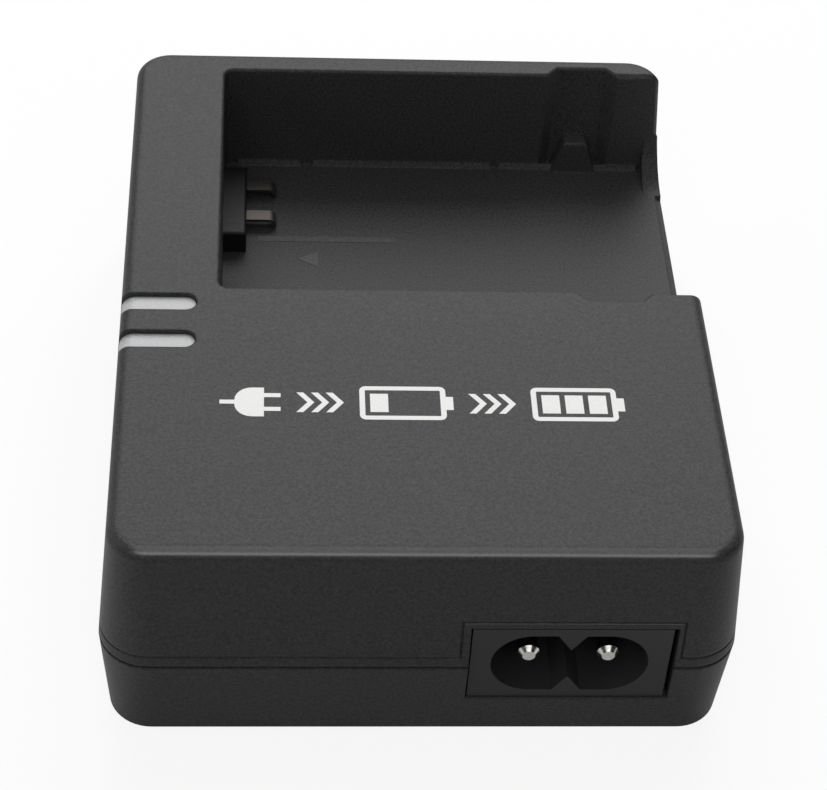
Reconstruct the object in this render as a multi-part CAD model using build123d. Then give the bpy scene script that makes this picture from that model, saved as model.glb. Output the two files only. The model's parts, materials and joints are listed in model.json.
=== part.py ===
from build123d import *
from math import radians, tan
import os

# Camera battery charger, in millimetres. X is to the right, Y to the back, Z up.
# The origin is the middle of the footprint, on the surface that the charger stands on.

# Casing
WIDTH = 69.0
DEPTH = 87.5
CORNER_R = 5.6
TOP_DRAFT = 4.9
BOTTOM_DRAFT = 4.0
TOP_EDGE_R = 1.4
BOTTOM_EDGE_BEVEL = 0.2
WALL = 2.0
ROOF_T = 2.0
BASE_T = 1.8

# Joint between the two shells: a tongue on the lower one, a groove in the upper one
TONGUE_T = 0.9
TONGUE_H = 1.0
TONGUE_CLEAR = 0.1
SHADOW_GAP = 0.35

# Line moulded round the lower rim of the upper shell
LINE_UP = 1.6
LINE_W = 0.25
LINE_DEPTH = 0.2
LINE_MARGIN = 0.8

# Circuit board, on pillars of the lower shell
BOARD_T = 1.6
BOARD_CORNER_R = 2.5
BOARD_GAP = 1.0
STANDOFF = 2.5
PILLAR_W = 3.6
PILLAR_INSET = 2.7
PEG_D = 2.0
PEG_CLEAR = 0.15

# Mains inlet, across the parting line
INLET_TO_SIDE = 18.6
INLET_W = 21.4
INLET_H = 11.2
INLET_DEPTH = 15.0
INLET_RECESS = 0.6
INLET_ABOVE_PARTING = 0.3
INLET_CLEAR = 0.2
INLET_ROOM = 0.35
INLET_FLANGE = 1.0
INLET_FLANGE_T = 1.4
INLET_FLANGE_BACK = 0.8
SOCKET_W = 17.0
SOCKET_H = 9.0
SOCKET_DEPTH = 12.0
TOOTH_W = 3.1
TOOTH_H = 2.3
PIN_D = 2.4
PIN_PITCH = 8.6
PIN_TIP_RECESS = 1.0
PIN_TIP_BEVEL = 0.5
PIN_CLEAR = 0.03
TAIL_W = 1.8
TAIL_T = 0.8

# Battery bay, open at the top and at the right side
LEFT_STRIP = 12.3
BACK_STRIP = 5.05
BAY_LENGTH = 40.7
BAY_DEPTH = 15.1
BAY_WALL = 1.8
BAY_FLOOR_T = 1.7
BAY_CORNER_R = 1.2
BAY_MOUTH_BEVEL = 0.5
BAY_LIP = 0.8
BAY_RIM_BEVEL = 0.25
GUSSET_R = 5.5
GUSSET_T = 2.4
NOTCH_TO_SIDE = 6.9
NOTCH_W = 8.9
NOTCH_SLANT = 1.35
NOTCH_DEPTH = 1.45
LUG_FOOT_W = 5.7
LUG_TOP_W = 2.8
LUG_H = 4.8
LUG_REACH = 0.9
LUG_R = 0.4
RAIL_H = 0.8
RAIL_DEPTH = 0.45
RAIL_FIRST = 1.6
RAIL_SECOND = 11.3
RAIL_LEFT_BREAK = 1.5
RAIL_RIGHT_BREAK = 0.9
RAIL_TO_LUG = 7.0
RAIL_PAST_LUG = 5.7

# Light guides over the left top edge
GUIDE_W = 2.5
GUIDE_CLEAR = 0.1
GUIDE_TO_BAY = 2.5
GUIDE_PITCH = 6.1
GUIDE_LENGTH = 9.9
GUIDE_DROP = 6.0
GUIDE_RECESS = 0.5
GUIDE_SIDE_RECESS = 0.05
GUIDE_T = 1.5
GUIDE_EDGE_R = 1.8
GUIDE_END_R = 1.2
GUIDE_FLANGE = 0.8
GUIDE_FLANGE_T = 0.8

# Lamps below the light guides
LED_D = 3.0
LED_RIM_D = 3.8
LED_RIM_T = 1.0
LED_H = 5.3
LED_DOME = 0.9
LED_AIR = 0.2
LED_PITCH = 2.54
LED_FROM_SIDE = 5.9

# Battery terminals
BLOCK_W = 2.85
BLOCK_H = 3.1
BLOCK_LENGTH = 13.0
BLOCK_TO_BACK = 4.5
BLOCK_CLEAR = 0.1
BLOCK_EDGE_R = 0.4
BLOCK_TENON_L = 2.9
BLOCK_TENON_LOW = 0.6
BLOCK_TENON_HIGH = 2.5
BLOCK_TENON_END = 0.6
CONTACT_T = 0.4
CONTACT_W = 1.8
CONTACT_LEVEL = 1.4
CONTACT_REACH = 3.55
CONTACT_BEND_R = 0.8
CONTACT_NOSE = 1.0
CONTACT_PITCH = 5.8
CONTACT_FIRST = 5.3
CONTACT_DROP_BACK = 5.2
CONTACT_CLEAR = 0.03

# Leads and their holes
LEAD_T = 0.5
LEAD_OUT = 1.0
LEAD_CLEAR = 0.15
LEAD_BEND_R = 0.8
CHIP_LEAD_W = 0.5
CHIP_LEAD_T = 0.25
CHIP_LEAD_UP = 1.6

# Parts on the board
PART_GAP = 1.4
CAN_BEVEL = 0.6
MAINS_CAP_D = 10.0
MAINS_CAP_H = 16.0
MAINS_CAP_PITCH = 5.0
OUTPUT_CAP_D = 6.3
OUTPUT_CAP_H = 11.2
OUTPUT_CAP_PITCH = 2.5
CHOKE_D = 8.0
CHOKE_H = 10.0
CHOKE_PITCH = 5.0
FUSE_D = 4.0
FUSE_L = 9.0
FUSE_PITCH = 12.5
FUSE_TO_INLET = 7.0
DIODE_D = 3.0
DIODE_L = 6.0
DIODE_PITCH = 10.0
DIODE_TO_BAY = 8.0
DIODE_FROM_LEFT = 12.0
DISC_D = 8.0
DISC_T = 4.0
DISC_PITCH = 7.5
DISC_TO_INLET = 0.9
DISC_SHIFT = 5.6
BRIDGE_L = 8.2
BRIDGE_PINS = 4
BRIDGE_TO_INLET = 6.6
BRIDGE_SHIFT = 6.5
SWITCH_L = 9.3
SWITCH_PINS = 8
SWITCH_TO_COUPLER = 1.95
COUPLER_L = 4.6
COUPLER_PINS = 4
COUPLER_TO_TRANSFORMER = 3.4
DIP_W = 6.4
DIP_H = 3.3
DIP_STAND = 0.4
DIP_ROW = 7.62
DIP_PITCH = 2.54
DIP_TO_BAY = 5.6
DIP_MARK = 1.2
DIP_MARK_DEPTH = 0.4
CONTROLLER_L = 8.6
CONTROLLER_W = 3.9
CONTROLLER_H = 1.5
CONTROLLER_PITCH = 1.27
CONTROLLER_SPAN = 6.0
CONTROLLER_FOOT = 0.8
CONTROLLER_STAND = 0.15
CONTROLLER_FROM_LEFT = 24.0
CONTROLLER_TO_BAY = 18.0
RESISTOR_L = 2.0
RESISTOR_W = 1.25
RESISTOR_H = 0.5
RESISTOR_GRID = 3.6
RESISTOR_TO_CONTROLLER = 8.0

# Transformer with a pair of E cores round an upright coil former
CORE_W = 16.0
CORE_H = 14.0
CORE_T = 4.8
CORE_LEG = 4.0
CORE_YOKE = 2.0
CORE_STAND = 0.5
COIL_CLEAR = 0.15
FORMER_T = 0.9
FORMER_D = 16.0
FORMER_RAIL = 2.6
FORMER_PIN_PITCH = 3.0
COIL_R = 1.5
COIL_IN = 0.5
TRANSFORMER_TO_LEFT = 24.5

# Distance below which two points count as one, when edges are picked
TOUCH = 0.01

# Levels and places that follow from the sizes above
HALF_W = WIDTH / 2
HALF_D = DEPTH / 2
BOARD_Z = BASE_T + STANDOFF
BOARD_TOP = BOARD_Z + BOARD_T
INLET_Z = BOARD_TOP + INLET_H / 2
PARTING_Z = INLET_Z - INLET_ABOVE_PARTING
BAY_FLOOR_Z = PARTING_Z + BAY_FLOOR_T
HEIGHT = BAY_FLOOR_Z + BAY_DEPTH
TOP_SLOPE = tan(radians(TOP_DRAFT))
INLET_X = HALF_W - INLET_TO_SIDE
INLET_FACE_Y = -HALF_D + INLET_RECESS
INLET_REAR_Y = INLET_FACE_Y + INLET_DEPTH
BAY_LEFT = -HALF_W + LEFT_STRIP
BAY_BACK = HALF_D - BACK_STRIP
BAY_FRONT = BAY_BACK - BAY_LENGTH
BAY_W = HALF_W - BAY_LEFT
NOTCH_FROM_LEFT = BAY_W - NOTCH_TO_SIDE - NOTCH_W
NOTCH_X = BAY_LEFT + NOTCH_FROM_LEFT + NOTCH_W / 2
RAIL_THIRD = NOTCH_FROM_LEFT + NOTCH_W / 2 - LUG_FOOT_W / 2 - RAIL_TO_LUG
RAIL_END = NOTCH_FROM_LEFT + NOTCH_W / 2 + LUG_FOOT_W / 2 + RAIL_PAST_LUG
BOARD_W = WIDTH - 2 * (WALL + BOARD_GAP)
BOARD_D = DEPTH - 2 * (WALL + BOARD_GAP)
PILLAR_X = BOARD_W / 2 - PILLAR_INSET
PILLAR_Y = BOARD_D / 2 - PILLAR_INSET
ROOF_Z = HEIGHT - ROOF_T
SIDE_INNER_X = -HALF_W + WALL + PART_GAP
FRONT_INNER_Y = -HALF_D + WALL + PART_GAP
BAY_OUTER_Y = BAY_FRONT - BAY_WALL
SLOT_W = GUIDE_W + 2 * GUIDE_CLEAR
CHARGE_GUIDE_Y = BAY_FRONT - GUIDE_TO_BAY
FULL_GUIDE_Y = CHARGE_GUIDE_Y - GUIDE_PITCH
LED_X = -HALF_W + LED_FROM_SIDE
CONTACT_Z = BAY_FLOOR_Z + CONTACT_LEVEL
BLOCK_BACK = BAY_BACK - BLOCK_TO_BACK
BLOCK_FRONT = BLOCK_BACK - BLOCK_LENGTH
NEGATIVE_Y = BLOCK_FRONT + CONTACT_FIRST
POSITIVE_Y = NEGATIVE_Y + CONTACT_PITCH
CONTACT_DROP_X = BAY_LEFT - CONTACT_DROP_BACK
PIN_LEFT_X = INLET_X - PIN_PITCH / 2
PIN_RIGHT_X = INLET_X + PIN_PITCH / 2
TAIL_Y = INLET_REAR_Y + TAIL_T / 2
MAINS_CAP_X = SIDE_INNER_X + MAINS_CAP_D / 2
MAINS_CAP_Y = FRONT_INNER_Y + MAINS_CAP_D / 2
OUTPUT_CAP_X = SIDE_INNER_X + OUTPUT_CAP_D / 2
OUTPUT_CAP_Y = MAINS_CAP_Y + MAINS_CAP_D / 2 + PART_GAP + OUTPUT_CAP_D / 2
CHOKE_X = MAINS_CAP_X + MAINS_CAP_D / 2 + PART_GAP + CHOKE_D / 2
CHOKE_Y = FRONT_INNER_Y + CHOKE_D / 2
FUSE_X = INLET_X - INLET_W / 2 - FUSE_TO_INLET
FUSE_Y = FRONT_INNER_Y + FUSE_PITCH / 2
DIODE_X = BAY_LEFT + DIODE_FROM_LEFT
DIODE_Y = BAY_FRONT + DIODE_TO_BAY
DISC_X = INLET_X - DISC_SHIFT
DISC_Y = INLET_REAR_Y + TAIL_T + DISC_TO_INLET + DISC_T / 2
BRIDGE_X = INLET_X + BRIDGE_SHIFT
BRIDGE_Y = INLET_REAR_Y + BRIDGE_TO_INLET
DIP_Y = BAY_OUTER_Y - DIP_TO_BAY
TRANSFORMER_X = -HALF_W + TRANSFORMER_TO_LEFT
TRANSFORMER_Y = BAY_OUTER_Y - PART_GAP - FORMER_D / 2
CORE_Z = BOARD_TOP + CORE_STAND
WINDOW_Z = CORE_Z + CORE_YOKE
WINDOW_H = CORE_H - 2 * CORE_YOKE
FORMER_W = CORE_W - 2 * CORE_YOKE - 2 * COIL_CLEAR
COUPLER_X = TRANSFORMER_X + CORE_W / 2 + COUPLER_TO_TRANSFORMER
SWITCH_X = COUPLER_X + COUPLER_L / 2 + SWITCH_TO_COUPLER + SWITCH_L / 2
CONTROLLER_X = BAY_LEFT + CONTROLLER_FROM_LEFT
CONTROLLER_Y = BAY_FRONT + CONTROLLER_TO_BAY
RESISTORS_X = CONTROLLER_X + CONTROLLER_L / 2 + RESISTOR_TO_CONTROLLER


# Helpers

def span(x0, x1, y0, y1, z0, z1):
    """Box between two corners."""
    return Pos((x0 + x1) / 2, (y0 + y1) / 2, (z0 + z1) / 2) * Box(x1 - x0, y1 - y0, z1 - z0)


def drafted(inset, height, draft, up):
    """Rounded block that narrows away from the parting plane, inset from the outer skin."""
    plane = Plane(origin=(0, 0, PARTING_Z), x_dir=(1, 0, 0), z_dir=(0, 0, 1 if up else -1))
    plan = RectangleRounded(WIDTH - 2 * inset, DEPTH - 2 * inset, CORNER_R - inset)
    return extrude(plane * plan, height, taper=draft)


def ring(outer_inset, inner_inset, z0, z1):
    """Upright wall that follows the casing's outline between two insets."""
    outer = RectangleRounded(WIDTH - 2 * outer_inset, DEPTH - 2 * outer_inset, CORNER_R - outer_inset)
    inner = RectangleRounded(WIDTH - 2 * inner_inset, DEPTH - 2 * inner_inset, CORNER_R - inner_inset)
    return extrude(Pos(0, 0, z0) * (outer - inner), z1 - z0)


def post(x, y, z0, z1, diameter):
    """Upright cylinder between two levels."""
    return Pos(x, y, (z0 + z1) / 2) * Cylinder(diameter / 2, z1 - z0)


def pillar(x, y, z0, z1, side):
    """Upright square bar between two levels."""
    return Pos(x, y, (z0 + z1) / 2) * Box(side, side, z1 - z0)


def on_level(edge, z):
    """Whether the middle of an edge lies at a level."""
    return abs(edge.center().Z - z) < TOUCH


def touches(edge, solid):
    """Whether the middle of an edge lies on a solid."""
    return solid.distance_to(edge.center()) < TOUCH


def across_bay(x, y, z, to_back):
    """Point given from the bay's back or front wall, with y counted into the wall."""
    return (x, BAY_BACK + y if to_back else BAY_FRONT - y, z)


# Casing

def inlet_opening():
    """Cut-out for the mains inlet, through the front wall of both shells, wider at the right."""
    half_w = INLET_W / 2 + INLET_CLEAR
    half_h = INLET_H / 2 + INLET_CLEAR
    right = INLET_X + half_w + INLET_ROOM
    back = INLET_FACE_Y + WALL + PART_GAP
    return span(INLET_X - half_w, right, -DEPTH, back, INLET_Z - half_h, INLET_Z + half_h)


def notch(to_back):
    """Upright groove with slanting sides in a bay wall, from the floor to the top."""
    half_mouth = NOTCH_W / 2
    half_bottom = half_mouth - NOTCH_SLANT
    corners = [
        (-half_mouth, -NOTCH_DEPTH), (half_mouth, -NOTCH_DEPTH), (half_mouth, 0),
        (half_bottom, NOTCH_DEPTH), (-half_bottom, NOTCH_DEPTH), (-half_mouth, 0),
    ]
    points = [across_bay(NOTCH_X + x, y, BAY_FLOOR_Z, to_back) for x, y in corners]
    plan = make_face(Polyline(*points, close=True))
    return extrude(plan, HEIGHT + ROOF_T - BAY_FLOOR_Z, dir=(0, 0, 1))


def lug(to_back):
    """Tapered stop in a notch, standing on the bay floor."""
    face_y = across_bay(0, NOTCH_DEPTH, 0, to_back)[1]
    reach = NOTCH_DEPTH + LUG_REACH
    half_foot = LUG_FOOT_W / 2
    half_top = LUG_TOP_W / 2
    outline = Polygon((-half_foot, 0), (half_foot, 0), (half_top, LUG_H), (-half_top, LUG_H), align=None)
    plane = Plane(origin=(NOTCH_X, face_y, BAY_FLOOR_Z), x_dir=(1, 0, 0), z_dir=(0, -1, 0))
    body = extrude(plane * outline, reach if to_back else -reach)
    top = body.faces().sort_by(Axis.Z)[-1]
    return fillet(top.edges(), LUG_R)


def rails(to_back):
    """Low ramp along the foot of a bay wall, in three lengths. The last one runs on past the lug."""
    lengths = [
        (RAIL_FIRST, RAIL_SECOND - RAIL_LEFT_BREAK),
        (RAIL_SECOND, RAIL_THIRD - RAIL_RIGHT_BREAK),
        (RAIL_THIRD, RAIL_END),
    ]
    inward = -1 if to_back else 1
    wall_y = across_bay(0, 0, 0, to_back)[1]
    section = Polygon((0, 0), (RAIL_DEPTH, 0), (0, RAIL_H), align=None)
    ramps = []
    for first, last in lengths:
        start = (BAY_LEFT + first, wall_y, BAY_FLOOR_Z)
        plane = Plane(origin=start, x_dir=(0, inward, 0), z_dir=(inward, 0, 0))
        ramps.append(extrude(plane * section, inward * (last - first)))
    return ramps


def gusset():
    """Web with a hollow round edge, which braces the back wall on the floor at the open side."""
    foot = GUSSET_R + BAY_MOUTH_BEVEL
    corner = Pos(-BAY_MOUTH_BEVEL, 0) * Rectangle(foot, GUSSET_R, align=(Align.MIN, Align.MIN))
    corner -= Pos(GUSSET_R, GUSSET_R) * Circle(GUSSET_R)
    start = (HALF_W - GUSSET_T, BAY_BACK, BAY_FLOOR_Z)
    plane = Plane(origin=start, x_dir=(0, -1, 0), z_dir=(-1, 0, 0))
    return extrude(plane * corner, -WIDTH)


def bay_space():
    """Open space of the battery bay, through the top and the right side, round its stops and rails."""
    block = span(BAY_LEFT, WIDTH, BAY_FRONT, BAY_BACK, BAY_FLOOR_Z, HEIGHT + ROOF_T)
    left = block.edges().filter_by(Axis.Z).group_by(Axis.X)[0]
    space = fillet(left, BAY_CORNER_R)
    for to_back in (True, False):
        space = space + notch(to_back) - lug(to_back) - rails(to_back)
    return space


def rim_line():
    """Fine line round the lower rim of the upper shell, which steps up round the inlet."""
    low = PARTING_Z + LINE_UP
    arch = INLET_W / 2 + INLET_CLEAR + LINE_MARGIN
    arch_top = INLET_Z + INLET_H / 2 + INLET_CLEAR + LINE_MARGIN
    front = -HALF_D + WALL
    band = span(-WIDTH, WIDTH, -DEPTH, DEPTH, low, low + LINE_W)
    band -= span(INLET_X - arch, INLET_X + arch, -DEPTH, front, low, low + LINE_W)
    band -= span(0, WIDTH, BAY_FRONT - BAY_WALL, BAY_BACK + BAY_MOUTH_BEVEL, low, low + LINE_W)
    step = span(INLET_X - arch - LINE_W, INLET_X + arch + LINE_W, -DEPTH, front, low, arch_top + LINE_W)
    step -= span(INLET_X - arch, INLET_X + arch, -DEPTH, front, low, arch_top)
    return band + step - drafted(LINE_DEPTH, HEIGHT, TOP_DRAFT, True)


def guide_slot(y):
    """Slot for a light guide, through the roof and down the left side, with round ends."""
    half = SLOT_W / 2
    tip_x = -HALF_W + GUIDE_LENGTH
    foot_z = HEIGHT - GUIDE_DROP
    inner_x = -HALF_W + WALL + TOP_SLOPE * (HEIGHT - PARTING_Z)
    above = HEIGHT + ROOF_T
    slot = span(-WIDTH, tip_x - half, y - half, y + half, ROOF_Z, above)
    slot += post(tip_x - half, y, ROOF_Z, above, SLOT_W)
    slot += span(-WIDTH, inner_x, y - half, y + half, foot_z + half, above)
    side_end = Pos(0, y, foot_z + half) * Rot(0, 90, 0) * Cylinder(half, WIDTH)
    slot += side_end & span(-WIDTH, inner_x, y - SLOT_W, y + SLOT_W, 0, above)
    return slot


def block_window():
    """Opening in the bay's left wall for the tenon of the terminal block."""
    low_y = BLOCK_FRONT + BLOCK_TENON_END - BLOCK_CLEAR
    high_y = BLOCK_BACK - BLOCK_TENON_END + BLOCK_CLEAR
    low_z = BAY_FLOOR_Z + BLOCK_TENON_LOW - BLOCK_CLEAR
    high_z = BAY_FLOOR_Z + BLOCK_TENON_HIGH + BLOCK_CLEAR
    return span(BAY_LEFT - BAY_WALL - PART_GAP, BAY_LEFT, low_y, high_y, low_z, high_z)


def holding_pillars():
    """Pillars that hold the back of the board down: one from the roof, one from the bay floor."""
    from_roof = pillar(-PILLAR_X, PILLAR_Y, BOARD_TOP, HEIGHT - ROOF_T / 2, PILLAR_W)
    from_floor = pillar(PILLAR_X, PILLAR_Y, BOARD_TOP, BAY_FLOOR_Z - BAY_FLOOR_T / 2, PILLAR_W)
    return from_roof, from_floor


def lip_bevel():
    """Bevel along the edge of the bay floor at the open side."""
    side = HALF_W - TOP_SLOPE * BAY_FLOOR_T
    outline = Polyline(
        (side - BAY_LIP, BAY_FLOOR_Z),
        (side + BAY_LIP, BAY_FLOOR_Z - 2 * BAY_LIP),
        (side + BAY_LIP, BAY_FLOOR_Z + BAY_LIP),
        (side - BAY_LIP, BAY_FLOOR_Z + BAY_LIP),
        close=True,
    )
    plane = Plane(origin=(0, BAY_BACK - GUSSET_R, 0), x_dir=(1, 0, 0), z_dir=(0, -1, 0))
    return extrude(plane * make_face(outline), BAY_LENGTH - GUSSET_R)


def soften_bay(shell, bay):
    """Bevels the bay's rim, the ends of its walls and the edge of its floor at the open side."""
    side_x = HALF_W - WALL - TOP_EDGE_R
    long_edges = [e for e in shell.edges() if e.center().X > side_x and e.length > BAY_DEPTH / 2]
    upright = [e for e in long_edges if abs(e.tangent_at(0.5).Z) > abs(e.tangent_at(0.5).Y)]
    shell = chamfer([e for e in upright if touches(e, bay)], BAY_MOUTH_BEVEL)
    rim = [e for e in shell.edges() if on_level(e, HEIGHT) and touches(e, bay)]
    return chamfer(rim, BAY_RIM_BEVEL) - lip_bevel()


def top_shell():
    """Upper half of the casing: drafted shell, battery bay, slots and fine outer line."""
    outer = drafted(0, HEIGHT - PARTING_Z, TOP_DRAFT, True)
    outer = fillet(outer.faces().sort_by(Axis.Z)[-1].edges(), TOP_EDGE_R)
    hollow = drafted(WALL, ROOF_Z - PARTING_Z, TOP_DRAFT, True)
    tub = span(BAY_LEFT - BAY_WALL, WIDTH, BAY_OUTER_Y - NOTCH_DEPTH, DEPTH, PARTING_Z, HEIGHT) & outer
    bay = bay_space()
    shell = outer - hollow + tub - bay
    shell = soften_bay(shell, bay) + (gusset() & outer)
    shell = shell - inlet_opening() - block_window() - rim_line()
    for y in (CHARGE_GUIDE_Y, FULL_GUIDE_Y):
        shell -= guide_slot(y)
    groove_out = WALL - TONGUE_T - TONGUE_CLEAR
    shell -= ring(groove_out, WALL + TONGUE_CLEAR, PARTING_Z, PARTING_Z + TONGUE_H)
    shell -= ring(-WALL, groove_out, PARTING_Z, PARTING_Z + SHADOW_GAP)
    for holder in holding_pillars():
        shell += holder
    return shell


def bottom_shell():
    """Lower half of the casing: drafted tray with its tongue and the pillars of the board."""
    outer = drafted(0, PARTING_Z, BOTTOM_DRAFT, False)
    outer = chamfer(outer.faces().sort_by(Axis.Z)[0].edges(), BOTTOM_EDGE_BEVEL)
    shell = outer - drafted(WALL, PARTING_Z - BASE_T, BOTTOM_DRAFT, False)
    shell += ring(WALL - TONGUE_T, WALL, PARTING_Z - WALL, PARTING_Z + TONGUE_H)
    shell -= inlet_opening()
    for x in (-PILLAR_X, PILLAR_X):
        for y in (-PILLAR_Y, PILLAR_Y):
            shell += pillar(x, y, BASE_T, BOARD_Z, PILLAR_W)
        shell += post(x, -PILLAR_Y, BOARD_Z, BOARD_TOP, PEG_D)
    return shell


# Mains inlet

def socket_space():
    """Figure-eight hollow of the inlet: a rounded slot with a tooth above and below."""
    plane = Plane(origin=(INLET_X, INLET_FACE_Y, INLET_Z), x_dir=(1, 0, 0), z_dir=(0, -1, 0))
    outline = SlotOverall(SOCKET_W, SOCKET_H)
    half = SOCKET_H / 2
    for side in (1, -1):
        points = [(-TOOTH_W / 2, side * half), (TOOTH_W / 2, side * half), (0, side * (half - TOOTH_H))]
        outline -= Polygon(*points, align=None)
    return extrude(plane * outline, -SOCKET_DEPTH)


def inlet_socket():
    """Moulded inlet block with its flange behind the casing wall and bores for the pins."""
    half_w = INLET_W / 2
    low_z = BOARD_TOP
    high_z = BOARD_TOP + INLET_H
    flange_y = INLET_FACE_Y + WALL + INLET_FLANGE_BACK
    block = span(INLET_X - half_w, INLET_X + half_w, INLET_FACE_Y, INLET_REAR_Y, low_z, high_z)
    flange_w = half_w + INLET_FLANGE
    flange_end = flange_y + INLET_FLANGE_T
    flange_z = high_z + INLET_FLANGE
    block += span(INLET_X - flange_w, INLET_X + flange_w, flange_y, flange_end, low_z, flange_z)
    block -= socket_space()
    for x in (PIN_LEFT_X, PIN_RIGHT_X):
        bore = Rot(90, 0, 0) * Cylinder(PIN_D / 2 + PIN_CLEAR, SOCKET_DEPTH)
        block -= Pos(x, INLET_REAR_Y, INLET_Z) * bore
    return block


def inlet_pin(x):
    """Round pin with a bevelled tip, and its tail down through the board."""
    tip_y = INLET_FACE_Y + PIN_TIP_RECESS
    end_y = INLET_REAR_Y + TAIL_T
    rod = Pos(x, (tip_y + end_y) / 2, INLET_Z) * Rot(90, 0, 0) * Cylinder(PIN_D / 2, end_y - tip_y)
    rod = chamfer(rod.edges().sort_by(Axis.Y)[0], PIN_TIP_BEVEL)
    half = TAIL_W / 2
    return rod + span(x - half, x + half, INLET_REAR_Y, end_y, BOARD_Z - LEAD_OUT, INLET_Z)


# Light guides and lamps

def guide_side(z):
    """X of a guide's outer face on the drafted left side, at a level."""
    return -HALF_W + TOP_SLOPE * (z - PARTING_Z) + GUIDE_SIDE_RECESS


def light_guide(y):
    """Translucent guide: a bar in the roof that turns down the left side, on an inner flange."""
    top_z = HEIGHT - GUIDE_RECESS
    foot_z = HEIGHT - GUIDE_DROP + GUIDE_CLEAR
    tip_x = -HALF_W + GUIDE_LENGTH - GUIDE_CLEAR
    bend_x = guide_side(ROOF_Z) + GUIDE_T
    outline = Polyline(
        (tip_x, ROOF_Z),
        (tip_x, top_z),
        (guide_side(top_z), top_z),
        (guide_side(foot_z), foot_z),
        (guide_side(foot_z) + GUIDE_T, foot_z),
        (bend_x, ROOF_Z),
        close=True,
    )
    plane = Plane(origin=(0, y, 0), x_dir=(1, 0, 0), z_dir=(0, -1, 0))
    guide = extrude(plane * make_face(outline), GUIDE_W / 2, both=True)
    corner = guide.edges().filter_by(Axis.Y).group_by(Axis.Z)[-1].sort_by(Axis.X)[0]
    guide = fillet(corner, GUIDE_EDGE_R)
    guide = fillet(guide.edges().filter_by(Axis.Z).group_by(Axis.X)[-1], GUIDE_END_R)
    guide = fillet(guide.edges().filter_by(Axis.X).group_by(Axis.Z)[0], GUIDE_END_R)
    half = GUIDE_W / 2 + GUIDE_FLANGE
    low_z = ROOF_Z - GUIDE_FLANGE_T
    return guide + span(bend_x + GUIDE_FLANGE, tip_x, y - half, y + half, low_z, ROOF_Z)


def led(y):
    """Round lamp with a rim and a domed end just below its light guide, on long legs from the board."""
    base_z = ROOF_Z - GUIDE_FLANGE_T - LED_AIR - LED_H
    radius = LED_D / 2
    rim = LED_RIM_D / 2
    flat = radius - LED_DOME
    foot = [(0, 0), (rim, 0), (rim, LED_RIM_T), (radius, LED_RIM_T)]
    outline = Polyline(*foot, (radius, LED_H - LED_DOME), (flat, LED_H), (0, LED_H), close=True)
    lamp = Pos(LED_X, y, base_z) * revolve(Plane.XZ * make_face(outline), Axis.Z)
    for point in lead_pair((LED_X, y), LED_PITCH, False):
        lamp += lead(point, base_z)
    return lamp


# Battery terminals

def terminal_block():
    """Insulating block at the bay's left end, with a tenon through the wall for the contacts."""
    right_x = BAY_LEFT + BLOCK_W
    block = span(BAY_LEFT, right_x, BLOCK_FRONT, BLOCK_BACK, BAY_FLOOR_Z, BAY_FLOOR_Z + BLOCK_H)
    rim = [e for e in block.faces().sort_by(Axis.Z)[-1].edges() if e.center().X > BAY_LEFT + BLOCK_EDGE_R]
    block = fillet(rim, BLOCK_EDGE_R)
    low_y = BLOCK_FRONT + BLOCK_TENON_END
    high_y = BLOCK_BACK - BLOCK_TENON_END
    low_z = BAY_FLOOR_Z + BLOCK_TENON_LOW
    high_z = BAY_FLOOR_Z + BLOCK_TENON_HIGH
    block += span(BAY_LEFT - BLOCK_TENON_L, BAY_LEFT, low_y, high_y, low_z, high_z)
    half_w = CONTACT_W / 2 + CONTACT_CLEAR
    half_t = CONTACT_T / 2 + CONTACT_CLEAR
    for y in (NEGATIVE_Y, POSITIVE_Y):
        block -= span(-WIDTH, WIDTH, y - half_w, y + half_w, CONTACT_Z - half_t, CONTACT_Z + half_t)
    return block


def bent_strip(path, thickness, width, y):
    """Strip of metal bent along a path in the XZ plane, as wide as given along Y."""
    plane = Plane(origin=(0, y, 0), x_dir=(1, 0, 0), z_dir=(0, -1, 0))
    return extrude(plane * trace(path, thickness), width / 2, both=True)


def contact(y):
    """Bent strip: a nose in the bay, a run through the block and a tail down to the board."""
    nose_x = BAY_LEFT + BLOCK_W + CONTACT_REACH
    path = FilletPolyline(
        (nose_x, CONTACT_Z - CONTACT_NOSE),
        (nose_x, CONTACT_Z),
        (CONTACT_DROP_X, CONTACT_Z),
        (CONTACT_DROP_X, BOARD_Z - LEAD_OUT),
        radius=CONTACT_BEND_R,
    )
    return bent_strip(path, CONTACT_T, CONTACT_W, y)


# Circuit board and its leads

def lead_pair(at, pitch, along_y):
    """Places of two leads, side by side along X or Y."""
    x, y = at
    half = pitch / 2
    return [(x, y - half), (x, y + half)] if along_y else [(x - half, y), (x + half, y)]


def lead(point, top_z):
    """Straight square wire from a part down through the board."""
    x, y = point
    half = LEAD_T / 2
    return span(x - half, x + half, y - half, y + half, BOARD_Z - LEAD_OUT, top_z)


def dip_leads(x, y, pins):
    """Places of the legs of a two-row chip, with its rows along X."""
    first = -(pins / 2 - 1) / 2 * DIP_PITCH
    columns = [x + first + i * DIP_PITCH for i in range(pins // 2)]
    return [(column, y + side * DIP_ROW / 2) for side in (-1, 1) for column in columns]


def former_pins():
    """Places of the coil former's pins, in a row at each end."""
    reach = FORMER_D / 2 - FORMER_RAIL / 2
    columns = [TRANSFORMER_X + i * FORMER_PIN_PITCH for i in (-1, 0, 1)]
    return [(column, TRANSFORMER_Y + side * reach) for side in (-1, 1) for column in columns]


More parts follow.
